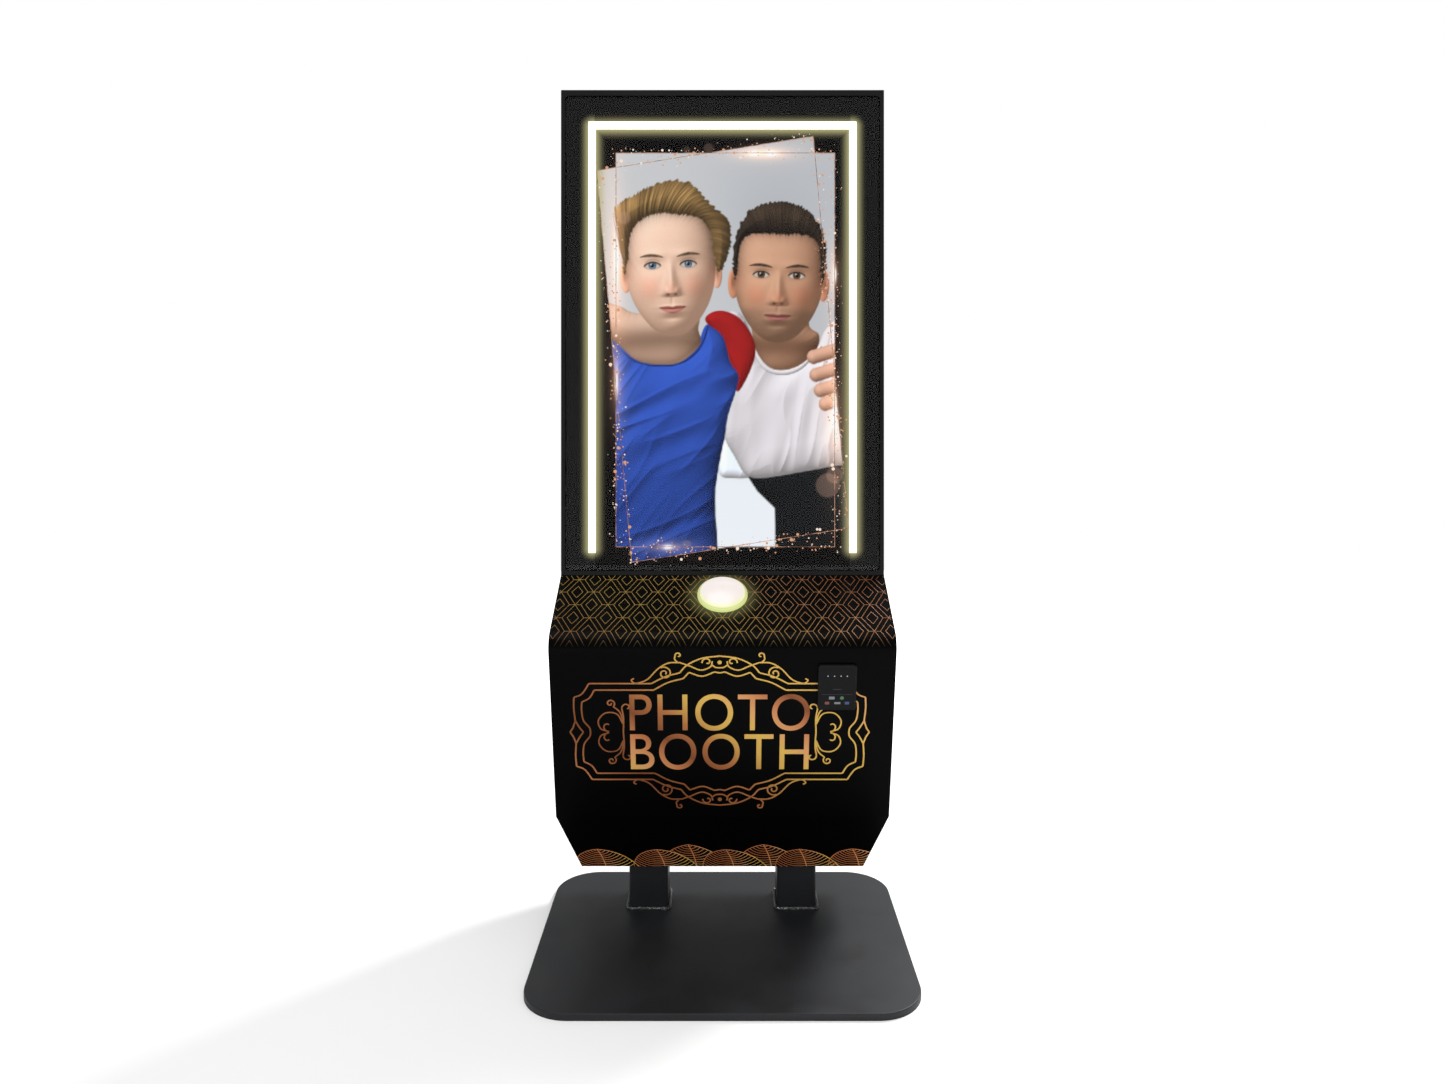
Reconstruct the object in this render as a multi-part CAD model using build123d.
"""Free-standing photo booth: base plate, two posts, folded-steel console and portrait display head.

Millimetres, +Z up. The origin is the centre of the base plate's underside, on the floor.
The front faces -Y and +X is to a viewer's right.
"""
from build123d import *
import math
import os

# ---------------------------------------------------------------- driving dimensions
# base plate and posts
plate_width = 710
plate_depth = 540
plate_thickness = 12
plate_corner = 88
plate_edge_round = 2
post_size = 80
post_wall = 3
post_corner = 6
post_spacing = 305
post_centre_y = 141
post_top_z = 380
post_cap_thickness = 8
post_bolt_radius = 5
post_bolt_pitch = 44
weld_leg = 6
weld_height = 5.5

# body: the console below and the display head above share one width and one back
body_width = 666
body_front_y = 100
body_depth = 120
sheet = 2
head_bottom_z = 700
head_height = 1000

# console side profile, from the display's front plane
slope_reach = 166
slope_drop = 98
ridge_round = 35
front_height = 374
front_setback = 101
bend_round = 18
chin_height = 124
chin_setback = 55
chin_width = 577

# rear door of the console
door_width = 592
door_bottom_z = 246
door_height = 430
door_lap = 16
door_depth = 14
door_sheet = 1.5
door_gap = 0.8
hinge_length = 60
hinge_barrel = 4.5
hinge_pin = 2
hinge_offset = 7
hinge_stand_off = 6
hinge_end_margin = 40
hinge_leaf_reach = 26
hinge_screw_offset = 17
hinge_screw_margin = 15
hinge_screw_radius = 2
lock_barrel = 9.5
lock_inset = 18
cam_reach = 30
cam_sheet = 3
cam_width = 14

# chassis shelf inside the console
shelf_sheet = 3
shelf_flange = 20
bracket_leg = 30
bracket_length = 160
bracket_front_y = 20
shelf_bolt_radius = 3
shelf_bolt_margin = 20

# tie between the console and the display head
neck_bolt_radius = 4
neck_bolt_xs = (-270, -190, -120, 120, 190, 270)
neck_bolt_offset = 12
neck_sheet = 5
neck_y = 172
neck_width = 580
neck_depth = 74
cable_slot_size = (160, 30)

# print outlet pocket in the left wall
pocket_y = 108
pocket_depth = 80
pocket_length = 150
pocket_height = 145
pocket_bottom_z = 400
pocket_sheet = 1.5
pocket_flange = 12
print_slot_z = 500
print_slot_length = 110
print_slot_height = 8

# lit dome push button
button_along_slope = 62
button_outer = 50.5
button_rim_height = 6
dome_radius = 45
dome_rise = 10
dome_wall = 2.5
button_travel = 4
stem_radius = 12
stem_length = 38
plunger_radius = 8
button_nut_height = 6
well_floor = 2
dome_skirt = 3
plunger_reach = 30
spring_wire = 0.6
spring_turns = 4
lamp_chips = 12
switch_pin_radius = 2
switch_length = 24

# card reader on the front
reader_x = 220.7
reader_z = 509
reader_width = 74
reader_height = 96
reader_proud = 6
reader_depth = 30
reader_lip = 8.5
reader_bezel = 4
reader_screw_radius = 1.5

# printer
printer_length = 325
printer_width = 200
printer_case_height = 145
printer_lid_height = 24.5
printer_wall = 3
foot_height = 8
printer_right_x = 80
roll_radius = 50
roll_width = 102
spindle_radius = 6
platen_radius = 10
platen_axle = 4
paper_gap = 0.5
roll_from_left = 265
platen_from_left = 40
cheek_sheet = 3
lid_barrel = 4
lid_pin = 2
lid_knuckle = 22
lid_axis_offset = 5
foot_radius = 9
foot_inset = 16

# electronics
computer_size = (180, 180, 38)
computer_x = 200
driver_size = (190, 60, 35)
inlet_x = 210
inlet_z = 190
inlet_flange = (52, 74)
inlet_body = (46, 66)
inlet_depth = 24
socket_size = (24, 16.5)
socket_depth = 17
socket_offset = -15
socket_pins = ((-7, -1.5), (7, -1.5), (0, 3.5))
rocker_pocket = (13, 22)
rocker_offset = 20
rocker_tilt = 12
rocker_pin = 1.2

# display head
rim_width = 8
rim_round = 9
glass_thickness = 4
gasket_thickness = 1
back_flange = 15
cover_sheet = 2
cover_depth = 8
lcd_active_width = 529.4
lcd_active_height = 941.2
lcd_border = 9.8
lcd_depth = 18
lcd_sheet = 1.5
lcd_rail_height = 30
lcd_rail_sheet = 3
lcd_rail_shares = (0.15, 0.5, 0.85)
lcd_rail_screw_x = 200
rail_screw_radius = 2
cover_screw_radius = 2
light_half_width = 276
light_top_z = 1634
light_bottom_z = 746
light_width = 14.5
light_proud = 8.5
light_wall = 1
light_chip_pitch = 33
camera_z = 1681
camera_y = 122
camera_size = (67, 20, 23)
lens_radius = 6
fan_size = 80
fan_depth = 25
fan_spacing = 240
fan_z = 1500
fan_hub = 14
fan_hole_pitch = 71.5
fan_shaft = 2
fan_rotor_depth = 16
fan_screw_radius = 2
blade_count = 7
guard_wire = 2
guard_rings = (15, 22, 29, 36)
vent_slot = (60, 5)
vent_pitch = (90, 14)

# fits
running_fit = 0.05
bolt_fit = 0.2
seat_fit = 0.3
panel_gap = 2

# ---------------------------------------------------------------- derived places
half_body = body_width / 2
body_back_y = body_front_y + body_depth
inner_back_y = body_back_y - sheet
ridge_y = body_front_y - slope_reach
ridge_z = head_bottom_z - slope_drop
bend_y = ridge_y + front_setback
bend_z = ridge_z - front_height
console_bottom_z = bend_z - chin_height
chin_y = bend_y + chin_setback
front_lean = front_setback / front_height
front_angle = math.degrees(math.atan(front_lean))
slope_length = math.hypot(slope_reach, slope_drop)
half_post = post_spacing / 2
head_top_z = head_bottom_z + head_height
post_cap_z = post_top_z - post_cap_thickness
shelf_top_z = post_top_z + shelf_sheet


def front_face_y(z):
    """Y of the console's outer front face at a height between the bend and the ridge."""
    return ridge_y + (ridge_z - z) * front_lean


# ---------------------------------------------------------------- shape helpers
def block(x_range, y_range, z_range):
    """A box between the given limits along X, Y and Z."""
    centre = [(low + high) / 2 for low, high in (x_range, y_range, z_range)]
    return Pos(*centre) * Box(*[high - low for low, high in (x_range, y_range, z_range)])


def around(centre, size):
    """The two limits of a length centred on a value."""
    return centre - size / 2, centre + size / 2


def rod(axis, centre, radius, length):
    """A cylinder centred on a point, along X, Y or Z."""
    turn = {"X": Rot(0, 90, 0), "Y": Rot(90, 0, 0), "Z": Rot(0, 0, 0)}[axis]
    return Pos(*centre) * turn * Cylinder(radius, length)


def rounded_plate(width, height, corner, z_range):
    """A plate with rounded corners, flat in XY."""
    low, high = z_range
    return Pos(0, 0, low) * extrude(RectangleRounded(width, height, corner), amount=high - low)


def upright_plate(width, z_range, corner, y_range):
    """A plate with rounded corners that stands across Y."""
    height = z_range[1] - z_range[0]
    outline = RectangleRounded(width, height, corner)
    place = Plane(origin=(0, y_range[1], sum(z_range) / 2), x_dir=(1, 0, 0), z_dir=(0, -1, 0))
    return extrude(place * outline, amount=y_range[1] - y_range[0])


def bolt(head_radius, head_height, shank_radius, shank_length):
    """A hexagon bolt: its head stands on z = 0 and its shank points down."""
    head = extrude(RegularPolygon(head_radius, 6), amount=head_height)
    return head + Pos(0, 0, -shank_length / 2) * Cylinder(shank_radius, shank_length)


def screw(head_radius, head_height, shank_radius, shank_length):
    """A pan-head screw: its head stands on z = 0 and its shank points down."""
    head = Pos(0, 0, head_height / 2) * Cylinder(head_radius, head_height)
    head = fillet(head.edges().sort_by(Axis.Z)[-1], head_height * 0.4)
    return head + Pos(0, 0, -shank_length / 2) * Cylinder(shank_radius, shank_length)


def nut(radius, height, bore):
    """A hexagon nut whose upper face lies on z = 0."""
    return Pos(0, 0, -height) * extrude(RegularPolygon(radius, 6) - Circle(bore), amount=height)


def backwards(x, y, z):
    """A place whose own +Z points to the back of the booth."""
    return Pos(x, y, z) * Rot(-90, 0, 0)


os.makedirs("parts", exist_ok=True)


def write(name, *pieces):
    """One STEP file for one sub-part, with each piece as its own solid."""
    solids = [solid for piece in pieces for solid in piece.solids()]
    export_step(Compound(solids), f"parts/{name}.step")


# ---------------------------------------------------------------- base plate and posts
def base_plate():
    plate = rounded_plate(plate_width, plate_depth, plate_corner, (0, plate_thickness))
    rims = plate.edges().filter_by(lambda edge: abs(edge.center().Z - plate_thickness) < 0.01)
    return fillet(rims, plate_edge_round)


def post(side):
    tube = RectangleRounded(post_size, post_size, post_corner)
    bore = RectangleRounded(post_size - 2 * post_wall, post_size - 2 * post_wall, post_corner - post_wall)
    place = Pos(side * half_post, post_centre_y, plate_thickness)
    return place * extrude(tube - bore, amount=post_cap_z - plate_thickness)


def post_weld(side):
    foot = RectangleRounded(post_size + 2 * weld_leg, post_size + 2 * weld_leg, post_corner + weld_leg)
    bead = extrude(foot, amount=weld_height, taper=45)
    bead -= extrude(RectangleRounded(post_size, post_size, post_corner), amount=weld_height)
    return Pos(side * half_post, post_centre_y, plate_thickness) * bead


post_bolt_places = [
    (side * half_post + along * post_bolt_pitch / 2, post_centre_y + across * post_bolt_pitch / 2)
    for side in (-1, 1)
    for along in (-1, 1)
    for across in (-1, 1)
]


def drill(part, places, radius, z_range):
    """Cuts one upright round hole at each place."""
    middle = sum(z_range) / 2
    for x, y in places:
        part -= rod("Z", (x, y, middle), radius, z_range[1] - z_range[0] + 2)
    return part


def post_top_plate(side):
    plate = Pos(side * half_post, post_centre_y, 0) * rounded_plate(
        post_size, post_size, post_corner, (post_cap_z, post_top_z)
    )
    return drill(plate, post_bolt_places, post_bolt_radius + bolt_fit, (post_cap_z, post_top_z))


post_bolt_length = shelf_sheet + post_cap_thickness + 6
post_bolt = bolt(9.2, 6.4, post_bolt_radius, post_bolt_length)

write("base_plate", base_plate())
write("left_post", post(-1))
write("right_post", post(1))
write("post_welds", post_weld(-1), post_weld(1))
write("post_top_plates", post_top_plate(-1), post_top_plate(1))


# ---------------------------------------------------------------- console shell
def console_block(inset):
    """The console as a solid block whose faces all lie a given inset inside the outer skin."""
    side = make_face(
        Polyline(
            (body_front_y, head_bottom_z),
            (ridge_y, ridge_z),
            (bend_y, bend_z),
            (chin_y, console_bottom_z),
            (body_back_y, console_bottom_z),
            (body_back_y, head_bottom_z),
            close=True,
        )
    )
    front = make_face(
        Polyline(
            (-chin_width / 2, console_bottom_z),
            (chin_width / 2, console_bottom_z),
            (half_body, bend_z),
            (half_body, head_bottom_z),
            (-half_body, head_bottom_z),
            (-half_body, bend_z),
            close=True,
        )
    )
    if inset:
        side = offset(side, -inset, kind=Kind.INTERSECTION)
        front = offset(front, -inset, kind=Kind.INTERSECTION)
    corners = side.vertices().sort_by(Axis.X)
    side = fillet(corners[0], ridge_round - inset)
    bend = side.vertices().sort_by_distance((bend_y + inset, bend_z))[0]
    side = fillet(bend, bend_round - inset)
    across = extrude(Plane.YZ * side, amount=body_width, both=True)
    along = extrude(Plane.XZ * front, amount=2 * plate_depth, both=True)
    return across & along


shelf_half = half_body - sheet - panel_gap
shelf_front_y = front_face_y(post_top_z - shelf_flange) + 3 * sheet
shelf_back_y = inner_back_y - 2 * panel_gap

door_centre_z = door_bottom_z + door_height / 2
opening_half = door_width / 2 - door_lap
opening_z = (door_bottom_z + door_lap, door_bottom_z + door_height - door_lap)

pocket_y_range = around(pocket_y, pocket_length)
pocket_z_range = (pocket_bottom_z, pocket_bottom_z + pocket_height)

neck_places = [(x, neck_y + neck_bolt_offset) for x in neck_bolt_xs]
cable_slot = block(
    around(0, cable_slot_size[0]), around(neck_y, cable_slot_size[1]), around(head_bottom_z, 10 * sheet)
)

slope_up = (0, slope_reach / slope_length, slope_drop / slope_length)
slope_normal = (0, -slope_drop / slope_length, slope_reach / slope_length)
button_plane = Plane(
    origin=(
        0,
        body_front_y - button_along_slope * slope_up[1],
        head_bottom_z - button_along_slope * slope_up[2],
    ),
    x_dir=(1, 0, 0),
    z_dir=slope_normal,
)

front_normal = (0, -math.cos(math.radians(front_angle)), -math.sin(math.radians(front_angle)))
reader_plane = Plane(
    origin=(reader_x, front_face_y(reader_z), reader_z), x_dir=(1, 0, 0), z_dir=front_normal
)
reader_cut = (reader_width - 2 * (reader_lip - 0.5), reader_height - 2 * (reader_lip - 0.5))
reader_screw_places = [
    (i * (reader_width / 2 - 4), j * (reader_height / 2 - 4)) for i in (-1, 1) for j in (-1, 1)
]

door_top_z = door_bottom_z + door_height
hinge_zs = [door_bottom_z + hinge_end_margin, door_top_z - hinge_end_margin - hinge_length]
hinge_x = -(door_width / 2 + hinge_offset)
hinge_y = body_back_y + hinge_stand_off
hinge_screw_x = hinge_x - hinge_screw_offset
hinge_screw_alongs = (hinge_screw_margin, hinge_length - hinge_screw_margin)
hinge_screw_places = [z + along for z in hinge_zs for along in hinge_screw_alongs]


def console_shell():
    shell = console_block(0) - console_block(sheet)
    back = (inner_back_y - 1, body_back_y + 1)
    shell -= block((-opening_half, opening_half), back, opening_z)
    shell -= block(around(inlet_x, inlet_body[0] + 1), back, around(inlet_z, inlet_body[1] + 1))
    for z in hinge_screw_places:
        shell -= rod("Y", (hinge_screw_x, body_back_y, z), hinge_screw_radius + bolt_fit, 3 * sheet)
    for side in (-1, 1):
        hole = rounded_plate(
            post_size + 2, post_size + 2, post_corner + 1, (console_bottom_z - 1, console_bottom_z + 5)
        )
        shell -= Pos(side * half_post, post_centre_y, 0) * hole
    shell -= cable_slot
    shell = drill(shell, neck_places, neck_bolt_radius + bolt_fit, (head_bottom_z - sheet, head_bottom_z))
    shell -= button_plane * Cylinder(stem_radius + seat_fit, 6 * sheet)
    shell -= reader_plane * Box(*reader_cut, 6 * sheet)
    for x, y in reader_screw_places:
        shell -= reader_plane * Pos(x, y, 0) * Cylinder(reader_screw_radius + bolt_fit, 6 * sheet)
    mouth_y = (pocket_y_range[0] + pocket_sheet, pocket_y_range[1] - pocket_sheet)
    mouth_z = (pocket_z_range[0] + pocket_sheet, pocket_z_range[1] - pocket_sheet)
    return shell - block((-half_body - 1, -half_body + sheet + 1), mouth_y, mouth_z)


write("console_shell", console_shell())

# ---------------------------------------------------------------- chassis shelf
bracket_y = (bracket_front_y, bracket_front_y + bracket_length)
shelf_bolt_places = [
    (side * (half_body - sheet - bracket_leg * 0.6), y)
    for side in (-1, 1)
    for y in (bracket_y[0] + shelf_bolt_margin, bracket_y[1] - shelf_bolt_margin)
]


def shelf():
    top = block((-shelf_half, shelf_half), (shelf_front_y, shelf_back_y), (post_top_z, shelf_top_z))
    for y_range in (
        (shelf_front_y, shelf_front_y + shelf_sheet),
        (shelf_back_y - shelf_sheet, shelf_back_y),
    ):
        inside = half_body - sheet - bracket_leg - panel_gap
        top += block((-inside, inside), y_range, (post_top_z - shelf_flange, shelf_top_z))
    top = drill(top, shelf_bolt_places, shelf_bolt_radius + bolt_fit, (post_top_z, shelf_top_z))
    return drill(top, post_bolt_places, post_bolt_radius + bolt_fit, (post_top_z, shelf_top_z))


def shelf_bracket(side):
    wall = half_body - sheet
    ledge = block((wall - bracket_leg, wall), bracket_y, (post_top_z - shelf_sheet, post_top_z))
    leg = block((wall - shelf_sheet, wall), bracket_y, (post_top_z - bracket_leg, post_top_z))
    bracket = ledge + leg
    if side < 0:
        bracket = mirror(bracket, about=Plane.YZ)
    return drill(bracket, shelf_bolt_places, shelf_bolt_radius + bolt_fit, (post_top_z - 5, post_top_z))


shelf_bolt = bolt(5.8, 4, shelf_bolt_radius, 14)
shelf_nut = Pos(0, 0, -2 * shelf_sheet) * nut(5.8, 5, shelf_bolt_radius + running_fit)

write("shelf", shelf())
write("shelf_brackets", shelf_bracket(-1), shelf_bracket(1))
write(
    "shelf_bolts",
    *[Pos(x, y, shelf_top_z) * post_bolt for x, y in post_bolt_places],
    *[Pos(x, y, shelf_top_z) * piece for x, y in shelf_bolt_places for piece in (shelf_bolt, shelf_nut)],
)


# ---------------------------------------------------------------- tie between console and display head
def neck_plate():
    top_z = head_bottom_z - sheet
    plate = block(around(0, neck_width), around(neck_y, neck_depth), (top_z - neck_sheet, top_z))
    return drill(plate - cable_slot, neck_places, neck_bolt_radius + bolt_fit, (top_z - neck_sheet, top_z))


neck_grip = 2 * sheet + neck_sheet
neck_bolt = bolt(7.5, 5.3, neck_bolt_radius, neck_grip + 10)
neck_nut = Pos(0, 0, -neck_grip) * nut(7.5, 6.5, neck_bolt_radius + running_fit)

write("neck_plate", neck_plate())
write(
    "neck_bolts",
    *[
        Pos(x, y, head_bottom_z + sheet) * piece
        for x, y in neck_places
        for piece in (neck_bolt, neck_nut)
    ],
)

# ---------------------------------------------------------------- rear door, hinges and lock
door_front_y = body_back_y + door_gap
door_back_y = door_front_y + door_depth
half_door = door_width / 2
lock_x = half_door - door_lap - lock_inset
lock_z = door_centre_z


def slots(columns, rows, centre_z, y_range):
    """Rows of ventilation slots with round ends, as solids to cut away."""
    length, height = vent_slot
    x_pitch, z_pitch = vent_pitch
    cuts = []
    for column in range(columns):
        for row in range(rows):
            x = (column - (columns - 1) / 2) * x_pitch
            z = centre_z + (row - (rows - 1) / 2) * z_pitch
            slot = upright_plate(length, around(z, height), height * 0.49, y_range)
            cuts.append(Pos(x, 0, 0) * slot)
    return cuts


def console_door():
    z_range = (door_bottom_z, door_bottom_z + door_height)
    door = block((-half_door, half_door), (door_front_y, door_back_y), z_range)
    door = fillet(door.edges().filter_by(Axis.Y), 3)
    hollow = block(
        (-half_door + door_sheet, half_door - door_sheet),
        (door_front_y - 1, door_back_y - door_sheet),
        (z_range[0] + door_sheet, z_range[1] - door_sheet),
    )
    door -= hollow
    y_range = (door_back_y - 2 * door_sheet, door_back_y + 1)
    for cut in slots(4, 6, door_bottom_z + 80, y_range):
        door -= cut
    return door - rod("Y", (lock_x, door_back_y, lock_z), lock_barrel + bolt_fit, 4 * door_sheet)


knuckle = hinge_length / 3


def hinge_barrel_piece(start, length, bore):
    barrel = rod("Z", (hinge_x, hinge_y, start + length / 2), hinge_barrel, length)
    return barrel, rod("Z", (hinge_x, hinge_y, start + length / 2), bore, length + 2)


def fixed_leaf(z):
    plate_end = hinge_x - hinge_barrel - 1
    leaf = block(
        (hinge_x - hinge_leaf_reach, plate_end), (body_back_y, body_back_y + sheet), (z, z + hinge_length)
    )
    for start in (z, z + 2 * knuckle):
        web = block(
            (plate_end - 1, hinge_x), (body_back_y, hinge_y), (start, start + knuckle)
        )
        barrel, bore = hinge_barrel_piece(start, knuckle, hinge_pin + running_fit / 2)
        leaf = leaf + web + barrel
        leaf -= bore
    for along in hinge_screw_alongs:
        leaf -= rod("Y", (hinge_screw_x, body_back_y, z + along), hinge_screw_radius + bolt_fit, 10)
    return leaf


def moving_leaf(z):
    plate_x = (-half_door - 2, -half_door)
    start = z + knuckle + seat_fit
    length = knuckle - 2 * seat_fit
    leaf = block(plate_x, (hinge_y - 3, door_back_y - 1), (z, z + hinge_length))
    web = block((hinge_x, plate_x[0] + 0.5), around(hinge_y, 4), (start, start + length))
    barrel, bore = hinge_barrel_piece(start, length, hinge_pin + running_fit)
    return leaf + web + barrel - bore


def hinge_pin_rod(z):
    return rod("Z", (hinge_x, hinge_y, z + hinge_length / 2), hinge_pin, hinge_length + 3)


hinge_screw = screw(3.8, 2, hinge_screw_radius, 8)
lock_head_depth = 2.5
cam_y = inner_back_y - door_sheet - cam_sheet


def door_lock():
    start = cam_y + cam_sheet
    barrel = rod("Y", (lock_x, (start + door_back_y) / 2, lock_z), lock_barrel - 2, door_back_y - start)
    collar = rod("Y", (lock_x, door_back_y - 2, lock_z), lock_barrel, 4)
    head = rod("Y", (lock_x, door_back_y + lock_head_depth / 2, lock_z), lock_barrel + 2.5, lock_head_depth)
    keyway = block(around(lock_x, 1.6), (door_back_y - 6, door_back_y + 5), around(lock_z, 9))
    return barrel + collar + head - keyway


def lock_cam():
    arm = block(
        around(lock_x, cam_width), (cam_y, cam_y + cam_sheet), (lock_z - cam_width / 2 - 2, lock_z + cam_reach)
    )
    arm = fillet(arm.edges().filter_by(Axis.Y), 5)
    return arm + rod("Y", (lock_x, cam_y - 2, lock_z), 5, 4)


write("console_door", console_door())
write("hinge_fixed_leaves", *[fixed_leaf(z) for z in hinge_zs])
write("hinge_moving_leaves", *[moving_leaf(z) for z in hinge_zs])
write("hinge_pins", *[hinge_pin_rod(z) for z in hinge_zs])
write(
    "hinge_screws",
    *[backwards(hinge_screw_x, body_back_y + sheet, z) * hinge_screw for z in hinge_screw_places],
)
write("door_lock", door_lock())
write("lock_cam", lock_cam())


# ---------------------------------------------------------------- print outlet pocket
pocket_x = (-half_body + sheet, -half_body + sheet + pocket_depth)


def print_pocket():
    box = block(pocket_x, pocket_y_range, pocket_z_range)
    flange = block(
        (pocket_x[0], pocket_x[0] + pocket_sheet),
        (pocket_y_range[0] - pocket_flange, pocket_y_range[1] + pocket_flange),
        (pocket_z_range[0] - pocket_flange, pocket_z_range[1] + pocket_flange),
    )
    hollow = block(
        (pocket_x[0] - 1, pocket_x[1] - pocket_sheet),
        (pocket_y_range[0] + pocket_sheet, pocket_y_range[1] - pocket_sheet),
        (pocket_z_range[0] + pocket_sheet, pocket_z_range[1] - pocket_sheet),
    )
    slot = block(
        (pocket_x[1] - 5, pocket_x[1] + 1),
        around(pocket_y, print_slot_length),
        around(print_slot_z, print_slot_height),
    )
    return box + flange - hollow - slot


write("print_pocket", print_pocket())

# ---------------------------------------------------------------- dome push button
dome_base = well_floor + button_travel + 0.5
rod_end = -plunger_reach


def button_bezel():
    rim = Pos(0, 0, button_rim_height / 2) * Cylinder(button_outer, button_rim_height)
    rim = fillet(rim.edges().sort_by(Axis.Z)[-1], 2.5)
    well = Pos(0, 0, well_floor + button_rim_height) * Cylinder(dome_radius + 0.6, 2 * button_rim_height)
    stem = Pos(0, 0, -stem_length / 2) * Cylinder(stem_radius, stem_length)
    bore = Cylinder(plunger_radius + running_fit, 3 * stem_length)
    return button_plane * (rim - well + stem - bore)


def dome_cap(radius, rise, height):
    """A low round cap on a straight skirt, standing on z = 0."""
    ball_radius = (radius**2 + rise**2) / (2 * rise)
    ball = Pos(0, 0, height + rise - ball_radius) * Sphere(ball_radius)
    skirt = Pos(0, 0, (height + rise) / 2) * Cylinder(radius, height + rise)
    return skirt & ball


def button_dome():
    cap = dome_cap(dome_radius, dome_rise, dome_skirt)
    hollow = dome_cap(dome_radius - dome_wall, dome_rise - 1, dome_skirt - dome_wall + 1)
    top = dome_base + dome_skirt + dome_rise - dome_wall / 2
    plunger = Pos(0, 0, (top + rod_end) / 2) * Cylinder(plunger_radius, top - rod_end)
    return button_plane * (Pos(0, 0, dome_base) * (cap - hollow) + plunger)


spring_radius = plunger_radius + 3
spring_height = dome_base + dome_skirt + dome_rise - dome_wall - well_floor - 2 - 2 * spring_wire


def button_spring():
    path = Helix(pitch=spring_height / spring_turns, height=spring_height, radius=spring_radius)
    section = Plane(origin=path @ 0, z_dir=path % 0) * Circle(spring_wire)
    return button_plane * Pos(0, 0, well_floor + spring_wire) * sweep(section, path=path)


def button_nut():
    return button_plane * Pos(0, 0, -sheet) * nut(20, button_nut_height, stem_radius + running_fit)


def button_lamp():
    ring = Cylinder(dome_radius - 8, 1.6) - Cylinder(spring_radius + 4, 4)
    ring = Pos(0, 0, well_floor + 0.8) * ring
    for chip in range(lamp_chips):
        turn = Rot(0, 0, chip * 360 / lamp_chips)
        ring += turn * Pos(28, 0, well_floor + 1.6) * Box(5, 5, 1.2)
    return button_plane * ring


switch_bore_depth = button_travel + 18


def button_switch():
    cup = Pos(0, 0, -stem_length - switch_length / 2) * Cylinder(stem_radius + 1, switch_length)
    cup = cup - Pos(0, 0, -stem_length - switch_bore_depth / 2 + 1) * Cylinder(
        switch_pin_radius + running_fit, switch_bore_depth + 2
    )
    tab = Box(16, 1.2, 6)
    return button_plane * (cup + Pos(0, 0, -stem_length - switch_length - 3) * tab)


def switch_plunger():
    low = -stem_length - switch_length / 2
    high = rod_end - seat_fit
    return button_plane * Pos(0, 0, (low + high) / 2) * Cylinder(switch_pin_radius, high - low)


write("button_bezel", button_bezel())
write("button_dome", button_dome())
write("button_spring", button_spring())
write("button_nut", button_nut())
write("button_lamp", button_lamp())
write("button_switch", button_switch())
write("switch_plunger", switch_plunger())


# ---------------------------------------------------------------- card reader
def reader_housing():
    face = extrude(RectangleRounded(reader_width, reader_height, 6), amount=reader_proud)
    rim = face.edges().filter_by(lambda edge: abs(edge.center().Z - reader_proud) < 0.01)
    face = fillet(rim, 1.5)
    body = Pos(0, 0, -reader_depth / 2) * Box(reader_cut[0] - 1, reader_cut[1] - 1, reader_depth)
    window = Pos(0, 0, reader_proud - 1.2) * extrude(
        RectangleRounded(reader_width - 2 * reader_bezel, reader_height - 2 * reader_bezel, 4), amount=3
    )
    housing = face + body - window
    for x, y in reader_screw_places:
        housing -= Pos(x, y, 1.5) * Cylinder(reader_screw_radius + running_fit, 5)
    return reader_plane * housing


def reader_window():
    width = reader_width - 2 * reader_bezel - seat_fit
    height = reader_height - 2 * reader_bezel - seat_fit
    pane = extrude(RectangleRounded(width, height, 4 - seat_fit / 2), amount=1)
    return reader_plane * Pos(0, 0, reader_proud - 1.2) * pane


def reader_clamp():
    ring = Box(reader_width + 4, reader_height + 4, 2) - Box(reader_cut[0], reader_cut[1], 4)
    for x, y in reader_screw_places:
        ring -= Pos(x, y, 0) * Cylinder(reader_screw_radius + bolt_fit, 4)
    return reader_plane * Pos(0, 0, -sheet - 1) * ring


reader_screw = Rot(180, 0, 0) * screw(3, 2, reader_screw_radius, sheet + 2 + 3.5)

write("reader_housing", reader_housing())
write("reader_window", reader_window())
write("reader_clamp", reader_clamp())
write("reader_screws", *[reader_plane * Pos(x, y, -sheet - 2) * reader_screw for x, y in reader_screw_places])

# ---------------------------------------------------------------- printer
printer_x = (printer_right_x - printer_length, printer_right_x)
printer_y = around(pocket_y, printer_width)
case_z = (shelf_top_z + foot_height, shelf_top_z + foot_height + printer_case_height)
lid_z = (case_z[1] + 0.5, case_z[1] + 0.5 + printer_lid_height)
cheek_half = roll_width / 2 + 3
roll_centre = (printer_x[0] + roll_from_left, pocket_y, case_z[0] + printer_wall + roll_radius + 20)
platen_centre = (printer_x[0] + platen_from_left, pocket_y, print_slot_z - platen_radius - 4)
head_gap_z = platen_centre[2] + platen_radius + paper_gap
lid_axis_y = printer_y[0] - lid_axis_offset
lid_axis_z = lid_z[0]
lid_knuckle_starts = [printer_x[0] + 40, printer_x[1] - 40 - 2 * lid_knuckle]


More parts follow.
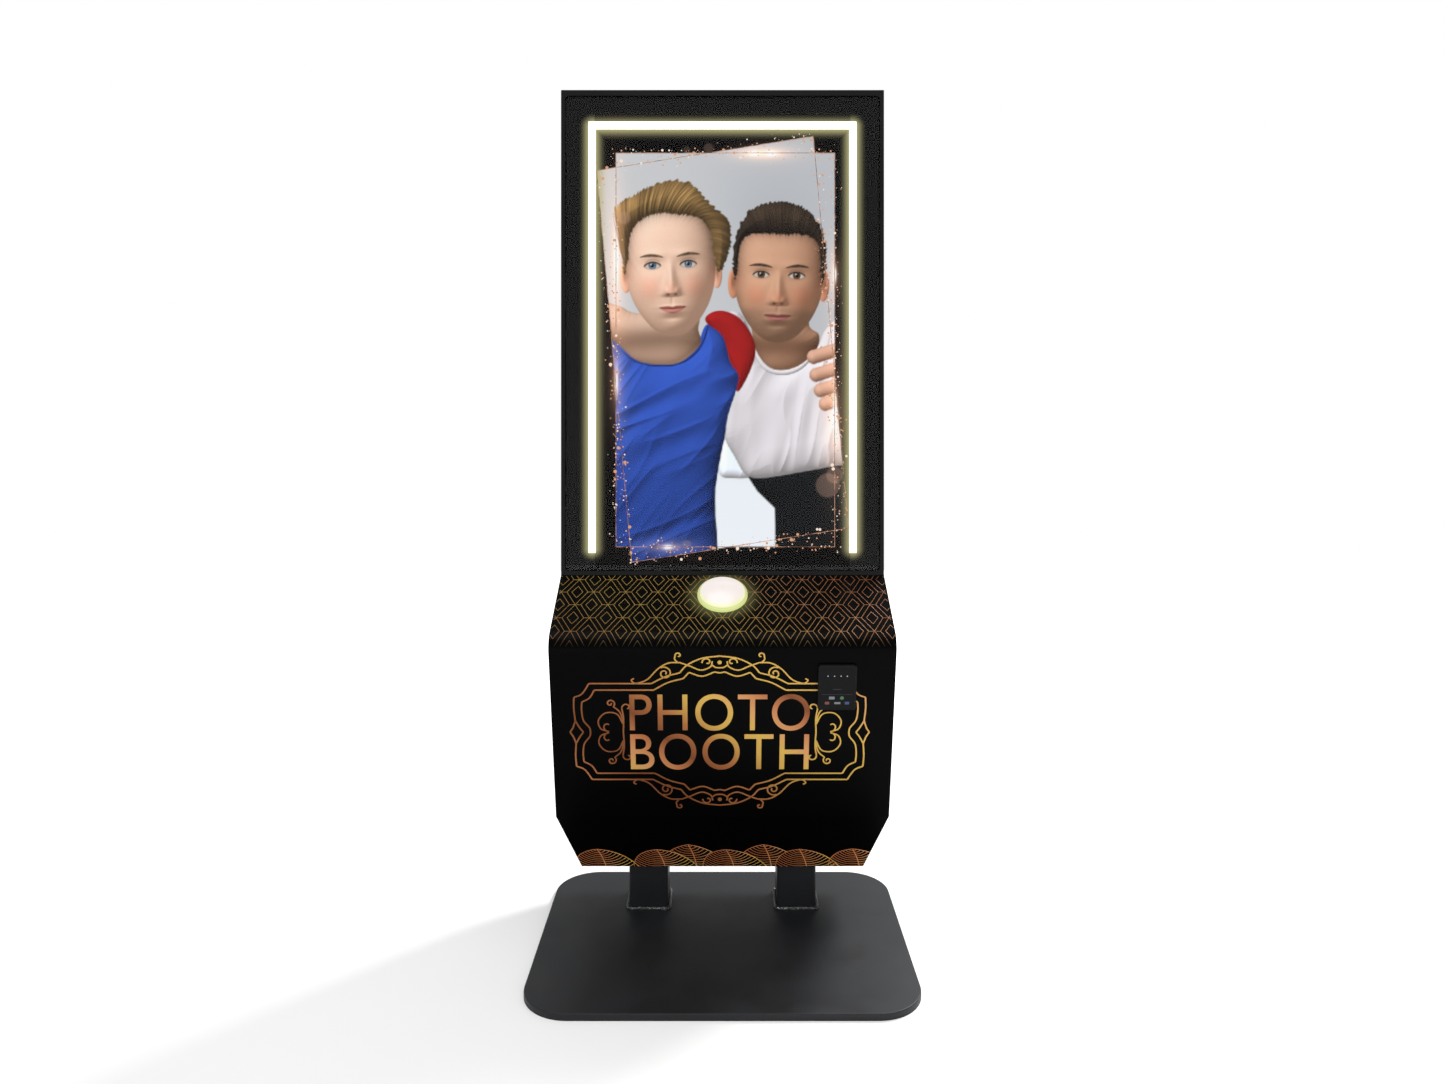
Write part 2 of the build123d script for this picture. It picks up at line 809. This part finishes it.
def printer_case():
    case = block(printer_x, printer_y, case_z)
    case = fillet(case.edges().filter_by(Axis.Z), 8)
    case -= block(
        (printer_x[0] + printer_wall, printer_x[1] - printer_wall),
        (printer_y[0] + printer_wall, printer_y[1] - printer_wall),
        (case_z[0] + printer_wall, case_z[1] + 1),
    )
    for side in (-1, 1):
        inner = pocket_y + side * cheek_half
        cheek_y = sorted((inner, inner + side * cheek_sheet))
        cheek = block(
            (printer_x[0] + printer_wall, printer_x[1] - 15), cheek_y, (case_z[0] + 1, case_z[1] - 10)
        )
        case += cheek
    for centre, radius in ((roll_centre, spindle_radius), (platen_centre, platen_axle)):
        case -= rod("Y", centre, radius + running_fit, printer_width - 4 * printer_wall)
    case -= block(
        (printer_x[0] - 1, printer_x[0] + printer_wall + 1),
        around(pocket_y, print_slot_length),
        around(print_slot_z, print_slot_height),
    )
    for start in lid_knuckle_starts:
        ear = rod("X", (start + lid_knuckle / 2, lid_axis_y, lid_axis_z), lid_barrel, lid_knuckle)
        web = block(
            (start, start + lid_knuckle), (lid_axis_y, printer_y[0] + 1), (lid_axis_z - lid_barrel, lid_axis_z - 1)
        )
        pin = rod("X", (start + lid_knuckle, lid_axis_y, lid_axis_z), lid_pin, 2 * lid_knuckle)
        case = case + ear + web + pin
    return case


def printer_lid():
    lid = block(printer_x, printer_y, lid_z)
    lid = fillet(lid.edges().filter_by(Axis.Z), 8)
    lid = fillet(lid.edges().filter_by(lambda edge: abs(edge.center().Z - lid_z[1]) < 0.01), 4)
    lid -= block(
        (printer_x[0] + printer_wall, printer_x[1] - printer_wall),
        (printer_y[0] + printer_wall, printer_y[1] - printer_wall),
        (lid_z[0] - 1, lid_z[1] - printer_wall),
    )
    for start in lid_knuckle_starts:
        ear_x = (start + lid_knuckle - 1, start + lid_knuckle + seat_fit)
        lid -= block((start - 1, ear_x[1]), (printer_y[0] - 1, printer_y[0] + 1), (lid_z[0] - 1, lid_z[0] + 5))
        own = (start + lid_knuckle + seat_fit, start + 2 * lid_knuckle - seat_fit)
        middle = sum(own) / 2
        barrel = rod("X", (middle, lid_axis_y, lid_axis_z), lid_barrel, own[1] - own[0])
        web = block(own, (lid_axis_y, printer_y[0] + 1), (lid_z[0] + 1, lid_z[0] + lid_barrel))
        lid = lid + web + barrel
        lid -= rod("X", (middle, lid_axis_y, lid_axis_z), lid_pin + running_fit, own[1] - own[0] + 4)
    return lid


def paper_roll():
    roll = rod("Y", roll_centre, roll_radius, roll_width)
    return roll + rod("Y", roll_centre, spindle_radius, 2 * (cheek_half + cheek_sheet + 2))


def platen_roller():
    roller = rod("Y", platen_centre, platen_radius, roll_width)
    return roller + rod("Y", platen_centre, platen_axle, 2 * (cheek_half + cheek_sheet + 2))


def print_head():
    x, y, _ = platen_centre
    bar = block(around(x, 24), around(y, 2 * cheek_half), (head_gap_z + 3, head_gap_z + 22))
    edge = block(around(x, 6), around(y, roll_width), (head_gap_z, head_gap_z + 4))
    return bar + edge


def feet_under(x_range, y_range):
    """Four rubber feet between the shelf and the corners of a case."""
    middle = shelf_top_z + foot_height / 2
    return [rod("Z", (x, y, middle), foot_radius, foot_height) for x in x_range for y in y_range]


write("printer_case", printer_case())
write("printer_lid", printer_lid())
write("paper_roll", paper_roll())
write("platen_roller", platen_roller())
write("print_head", print_head())

# ---------------------------------------------------------------- computer, LED driver, power inlet
def computer():
    width, depth, height = computer_size
    z = (shelf_top_z + foot_height, shelf_top_z + foot_height + height)
    case = block(around(computer_x, width), around(pocket_y, depth), z)
    case = fillet(case.edges().filter_by(Axis.Z), 6)
    case -= block(around(computer_x, width - 4), around(pocket_y, depth - 4), (z[0] + 2, z[1] - 2))
    for row in range(8):
        x = computer_x + (row - 3.5) * 16
        case -= block(around(x, 4), (pocket_y + depth / 2 - 4, pocket_y + depth / 2 + 1), around(sum(z) / 2, 20))
    return case


def led_driver():
    length, depth, height = driver_size
    floor = console_bottom_z + sheet
    case = block(around(0, length), around(post_centre_y, depth), (floor, floor + height))
    case = fillet(case.edges().filter_by(Axis.Z), 3)
    for fin in range(9):
        y = post_centre_y + (fin - 4) * 6
        case -= block(around(0, length - 20), around(y, 2), (floor + height - 5, floor + height + 1))
    return case


socket_z = inlet_z + socket_offset
rocker_z = inlet_z + rocker_offset
rocker_axis_y = body_back_y - 1


def power_inlet():
    back = body_back_y
    flange = upright_plate(inlet_flange[0], around(inlet_z, inlet_flange[1]), 3, (back, back + 2.5))
    body = block(around(0, inlet_body[0]), (back - inlet_depth, back + 1), around(inlet_z, inlet_body[1]))
    unit = flange + body
    unit -= block(around(0, socket_size[0]), (back - socket_depth, back + 4), around(socket_z, socket_size[1]))
    for x, z in socket_pins:
        unit += block(around(x, 2), (back - socket_depth - 1, back - 2), around(socket_z + z, 4))
    unit -= block(around(0, rocker_pocket[0]), (back - 12, back + 4), around(rocker_z, rocker_pocket[1]))
    unit -= rod("X", (0, rocker_axis_y, rocker_z), rocker_pin + running_fit, rocker_pocket[0] + 3)
    return Pos(inlet_x, 0, 0) * unit


def rocker_switch():
    """A rocker that lies at its on position, its upper half pressed in."""
    width = rocker_pocket[0] - 2 * seat_fit
    side = make_face(Polyline((-3, -9), (-3, 9), (3, 9), (1.5, 0), (3, -9), close=True))
    rocker = extrude(Plane.YZ * side, amount=width / 2, both=True)
    rocker += rod("X", (0, 0, 0), rocker_pin, rocker_pocket[0] + 2)
    return Pos(inlet_x, rocker_axis_y, rocker_z) * Rot(rocker_tilt, 0, 0) * rocker


write("computer", computer())
write(
    "rubber_feet",
    *feet_under(
        (printer_x[0] + foot_inset, printer_x[1] - foot_inset),
        (printer_y[0] + foot_inset, printer_y[1] - foot_inset),
    ),
    *feet_under(
        around(computer_x, computer_size[0] - 2 * foot_inset),
        around(pocket_y, computer_size[1] - 2 * foot_inset),
    ),
)
write("led_driver", led_driver())
write("power_inlet", power_inlet())
write("rocker_switch", rocker_switch())

# ---------------------------------------------------------------- display housing and back cover
head_z = (head_bottom_z, head_top_z)
head_inner_half = half_body - sheet
rim_z = (head_bottom_z + rim_width + 0.5, head_top_z - rim_width - 3.5)
glass_z = (head_bottom_z + 3, head_top_z - 3)
glass_half = head_inner_half - panel_gap
glass_front_y = body_front_y + sheet + gasket_thickness
glass_back_y = glass_front_y + glass_thickness
cover_back_y = body_back_y + cover_depth
cover_half = half_body - 3
cover_z = (head_bottom_z + 3, head_top_z - 3)
cover_screw_x = head_inner_half - back_flange + 6
cover_screw_zs = [cover_z[0] + 20 + step * (cover_z[1] - cover_z[0] - 40) / 4 for step in range(5)]
cover_screw_places = [(side * cover_screw_x, z) for side in (-1, 1) for z in cover_screw_zs]


def display_housing():
    housing = block((-half_body, half_body), (body_front_y, body_back_y), head_z)
    housing = fillet(housing.edges().filter_by(Axis.Y), 1.5)
    housing -= block(
        (-head_inner_half, head_inner_half),
        (body_front_y + sheet, body_back_y - sheet),
        (head_z[0] + sheet, head_z[1] - sheet),
    )
    housing -= upright_plate(body_width - 2 * rim_width, rim_z, rim_round, (body_front_y - 1, body_front_y + sheet + 1))
    inner = head_inner_half - back_flange
    housing -= block(
        (-inner, inner), (body_back_y - sheet - 1, body_back_y + 1), (head_z[0] + 17, head_z[1] - 17)
    )
    for x, z in cover_screw_places:
        housing -= rod("Y", (x, body_back_y, z), cover_screw_radius + bolt_fit, 4 * sheet)
    housing = drill(
        housing, neck_places, neck_bolt_radius + bolt_fit, (head_bottom_z, head_bottom_z + sheet)
    )
    return housing - cable_slot


fan_places = [(-fan_spacing / 2, fan_z), (fan_spacing / 2, fan_z)]
fan_duct = fan_size / 2 - 2
fan_screw_places = [
    (x + i * fan_hole_pitch / 2, z + j * fan_hole_pitch / 2)
    for x, z in fan_places
    for i in (-1, 1)
    for j in (-1, 1)
]


def display_back_cover():
    cover = block((-cover_half, cover_half), (body_back_y, cover_back_y), cover_z)
    cover = fillet(cover.edges().filter_by(Axis.Y), 4)
    cover -= block(
        (-cover_half + cover_sheet, cover_half - cover_sheet),
        (body_back_y - 1, cover_back_y - cover_sheet),
        (cover_z[0] + cover_sheet, cover_z[1] - cover_sheet),
    )
    for x, z in cover_screw_places:
        cover -= rod("Y", (x, cover_back_y, z), cover_screw_radius + bolt_fit, 4 * cover_sheet)
    for x, z in fan_places:
        cover -= rod("Y", (x, cover_back_y, z), fan_duct, 4 * cover_sheet)
    for x, z in fan_screw_places:
        cover -= rod("Y", (x, cover_back_y, z), fan_screw_radius + bolt_fit, 4 * cover_sheet)
    y_range = (cover_back_y - 2 * cover_sheet, cover_back_y + 1)
    for cut in slots(5, 8, head_bottom_z + 160, y_range):
        cover -= cut
    return cover


cover_screw = screw(4, 2.5, cover_screw_radius, cover_depth + sheet + 3)

write("display_housing", display_housing())
write("display_back_cover", display_back_cover())
write("cover_screws", *[backwards(x, cover_back_y, z) * cover_screw for x, z in cover_screw_places])


# ---------------------------------------------------------------- glass, gasket and LCD
def glass_frame(border, y_range):
    outer = block((-glass_half, glass_half), y_range, glass_z)
    inner = block(
        (-glass_half + border, glass_half - border),
        (y_range[0] - 1, y_range[1] + 1),
        (glass_z[0] + border, glass_z[1] - border),
    )
    return outer - inner


lcd_half = lcd_active_width / 2 + lcd_border
lcd_z = (head_bottom_z + 3, head_bottom_z + 3 + lcd_active_height + 2 * lcd_border)
lcd_front_y = glass_back_y + 2
lcd_back_y = lcd_front_y + lcd_depth
rail_zs = [lcd_z[0] + share * (lcd_z[1] - lcd_z[0]) for share in lcd_rail_shares]
rail_screw_places = [(x, z) for x in (-lcd_rail_screw_x, lcd_rail_screw_x) for z in rail_zs]


def lcd_frame():
    frame = block((-lcd_half, lcd_half), (lcd_front_y, lcd_back_y), lcd_z)
    frame -= block(
        (-lcd_half + lcd_sheet, lcd_half - lcd_sheet),
        (lcd_front_y + lcd_sheet, lcd_back_y - lcd_sheet),
        (lcd_z[0] + lcd_sheet, lcd_z[1] - lcd_sheet),
    )
    frame -= block(
        around(0, lcd_active_width),
        (lcd_front_y - 1, lcd_front_y + lcd_sheet + 1),
        (lcd_z[0] + lcd_border, lcd_z[1] - lcd_border),
    )
    for x, z in rail_screw_places:
        frame -= rod("Y", (x, lcd_back_y, z), rail_screw_radius + bolt_fit, 4 * lcd_sheet)
    return frame


def lcd_panel():
    """The liquid crystal panel with its diffuser stack, held between the frame's lip and its back."""
    back = lcd_back_y - lcd_sheet
    panel = block(
        (-lcd_half + lcd_sheet + 0.2, lcd_half - lcd_sheet - 0.2),
        (lcd_front_y + lcd_sheet, back),
        (lcd_z[0] + lcd_sheet + 0.2, lcd_z[1] - lcd_sheet - 0.2),
    )
    for x, z in rail_screw_places:
        panel -= rod("Y", (x, back, z), rail_screw_radius + 2, 2 * 4)
    return panel


def lcd_rail(z):
    span = around(z, lcd_rail_height)
    rail = block((-head_inner_half, head_inner_half), (lcd_back_y, lcd_back_y + lcd_rail_sheet), span)
    for side in (-1, 1):
        tab = sorted((side * head_inner_half, side * (head_inner_half - lcd_rail_sheet)))
        rail += block(tab, (lcd_back_y, lcd_back_y + 30), span)
    for x in (-lcd_rail_screw_x, lcd_rail_screw_x):
        rail -= rod("Y", (x, lcd_back_y, z), rail_screw_radius + bolt_fit, 10)
    return rail


rail_screw = screw(4, 2.5, rail_screw_radius, lcd_rail_sheet + lcd_sheet + 2)

write("front_glass", block((-glass_half, glass_half), (glass_front_y, glass_back_y), glass_z))
write("glass_gasket", glass_frame(3, (body_front_y + sheet, glass_front_y)))
write("lcd_frame", lcd_frame())
write("lcd_panel", lcd_panel())
write("lcd_rails", *[lcd_rail(z) for z in rail_zs])
write(
    "lcd_screws",
    *[backwards(x, lcd_back_y + lcd_rail_sheet, z) * rail_screw for x, z in rail_screw_places],
)


# ---------------------------------------------------------------- light bar
def light_path(inset, y_range, foot):
    """An upside-down U that runs round the picture, inset on both sides of its width."""
    outer_half = light_half_width - inset
    inner_half = light_half_width - light_width + inset
    top = light_top_z - inset
    bar = block((-outer_half, outer_half), y_range, (light_bottom_z + foot, top))
    hole = block(
        (-inner_half, inner_half),
        (y_range[0] - 1, y_range[1] + 1),
        (light_bottom_z - 1, light_top_z - light_width + inset),
    )
    return bar - hole


def light_diffuser():
    front = glass_front_y - light_proud
    shell = light_path(0, (front, glass_front_y), 0)
    shell = fillet(shell.edges().filter_by(lambda edge: abs(edge.center().Y - front) < 0.01), 2)
    return shell - light_path(light_wall, (front + light_wall, glass_front_y + 1), light_wall)


channel_front = glass_front_y - light_proud + light_wall + seat_fit
strip_wall = light_wall + 0.2 + 1


def light_channel():
    outer = light_path(light_wall + 0.2, (channel_front, glass_front_y), light_wall + 0.2)
    return outer - light_path(strip_wall, (channel_front - 1, glass_front_y - 1), strip_wall)


def light_strip():
    tape_y = (glass_front_y - 1.4, glass_front_y - 1)
    tape = light_path(strip_wall + 0.5, tape_y, strip_wall + 0.5)
    centre = light_half_width - light_width / 2
    pitch = light_chip_pitch
    count = int((light_top_z - light_bottom_z - 40) // pitch)
    for step in range(count):
        z = light_bottom_z + 20 + step * pitch
        for side in (-1, 1):
            tape += block(around(side * centre, 5), (tape_y[0] - 1.6, tape_y[0]), around(z, 5))
    across = int(2 * (centre - 20) // pitch)
    for step in range(across + 1):
        x = (step - across / 2) * pitch
        top = light_top_z - light_width / 2
        tape += block(around(x, 5), (tape_y[0] - 1.6, tape_y[0]), around(top, 5))
    return tape


write("light_diffuser", light_diffuser())
write("light_channel", light_channel())
write("light_strip", light_strip())

# ---------------------------------------------------------------- camera
camera_half = camera_size[0] / 2
ear_sheet = 2
pivot_radius = 2


def camera_bracket():
    ceiling = head_top_z - sheet
    outer = camera_half + 0.5 + ear_sheet
    bracket = block((-outer - 2, outer + 2), around(camera_y, 22), (ceiling - 2, ceiling))
    for side in (-1, 1):
        ear_x = sorted((side * (camera_half + 0.5), side * outer))
        bracket += block(ear_x, around(camera_y, 12), (camera_z - 6, ceiling))
    return bracket - rod("X", (0, camera_y, camera_z), pivot_radius + running_fit, 2 * outer + 4)


def camera_body():
    width, depth, height = camera_size
    body = block(around(0, width), around(camera_y, depth), around(camera_z, height))
    body = fillet(body.edges().filter_by(Axis.Y), 3)
    body -= rod("Y", (0, camera_y - depth / 2, camera_z), lens_radius + running_fit, 12)
    return body + rod("X", (0, camera_y, camera_z), pivot_radius, width + 2 * (0.5 + ear_sheet)) - rod(
        "Y", (0, camera_y - depth / 2, camera_z), lens_radius + running_fit, 12
    )


def camera_lens():
    front = camera_y - camera_size[1] / 2 - 2
    barrel = rod("Y", (0, front + 4, camera_z), lens_radius, 8)
    dish = Pos(0, front - 9, camera_z) * Sphere(10)
    return barrel - dish


write("camera_bracket", camera_bracket())
write("camera_body", camera_body())
write("camera_lens", camera_lens())

# ---------------------------------------------------------------- cooling fans
cover_inner_y = cover_back_y - cover_sheet
fan_front_y = cover_inner_y - fan_depth


def fan_frame(x, z):
    frame = block(around(x, fan_size), (fan_front_y, cover_inner_y), around(z, fan_size))
    frame = fillet(frame.edges().filter_by(Axis.Y), 4)
    frame -= rod("Y", (x, cover_inner_y, z), fan_duct, 4 * fan_depth)
    hub = rod("Y", (x, cover_inner_y - 2.5, z), fan_hub, 5)
    for spoke in range(4):
        turn = Pos(x, cover_inner_y - 1.5, z) * Rot(0, 45 + 90 * spoke, 0)
        hub += turn * Pos(fan_duct / 2 + 4, 0, 0) * Box(fan_duct - 4, 3, 3)
    shaft = rod("Y", (x, cover_inner_y - 5 - fan_rotor_depth / 2, z), fan_shaft, fan_rotor_depth + 1)
    frame = frame + hub + shaft
    for i in (-1, 1):
        for j in (-1, 1):
            hole = (x + i * fan_hole_pitch / 2, cover_inner_y, z + j * fan_hole_pitch / 2)
            frame -= rod("Y", hole, fan_screw_radius + bolt_fit, 4 * fan_depth)
    return frame


def fan_rotor(x, z):
    middle = cover_inner_y - 5 - 0.7 - fan_rotor_depth / 2
    rotor = rod("Y", (x, middle, z), fan_hub, fan_rotor_depth)
    blade_length = fan_duct - fan_hub - 0.5
    for blade in range(blade_count):
        turn = Pos(x, middle, z) * Rot(0, blade * 360 / blade_count, 0)
        rotor += turn * Pos(fan_hub + blade_length / 2 - 1, 0, 0) * Rot(38, 0, 0) * Box(blade_length, 1.6, 17)
    return rotor - rod("Y", (x, middle, z), fan_shaft + running_fit, fan_rotor_depth + 4)


def fan_guard(x, z):
    y = cover_back_y + guard_wire / 2
    guard = rod("Y", (x, y, z), 8, guard_wire)
    for radius in guard_rings:
        guard += rod("Y", (x, y, z), radius + guard_wire / 2, guard_wire) - rod(
            "Y", (x, y, z), radius - guard_wire / 2, 2 * guard_wire
        )
    reach = fan_hole_pitch / 2 * math.sqrt(2)
    for spoke in range(4):
        turn = Pos(x, y, z) * Rot(0, 45 + 90 * spoke, 0)
        guard += turn * Pos(reach / 2, 0, 0) * Box(reach, guard_wire, guard_wire)
        guard += turn * Pos(reach, 0, 0) * Rot(90, 0, 0) * Cylinder(5, guard_wire)
        guard -= turn * Pos(reach, 0, 0) * Rot(90, 0, 0) * Cylinder(fan_screw_radius + bolt_fit, 2 * guard_wire)
    return guard


fan_screw = screw(4, 2.4, fan_screw_radius, fan_depth + cover_sheet + guard_wire - 3)

write("fan_frames", *[fan_frame(x, z) for x, z in fan_places])
write("fan_rotor_left", fan_rotor(*fan_places[0]))
write("fan_rotor_right", fan_rotor(*fan_places[1]))
write("fan_guards", *[fan_guard(x, z) for x, z in fan_places])
write("fan_screws", *[backwards(x, cover_back_y + guard_wire, z) * fan_screw for x, z in fan_screw_places])
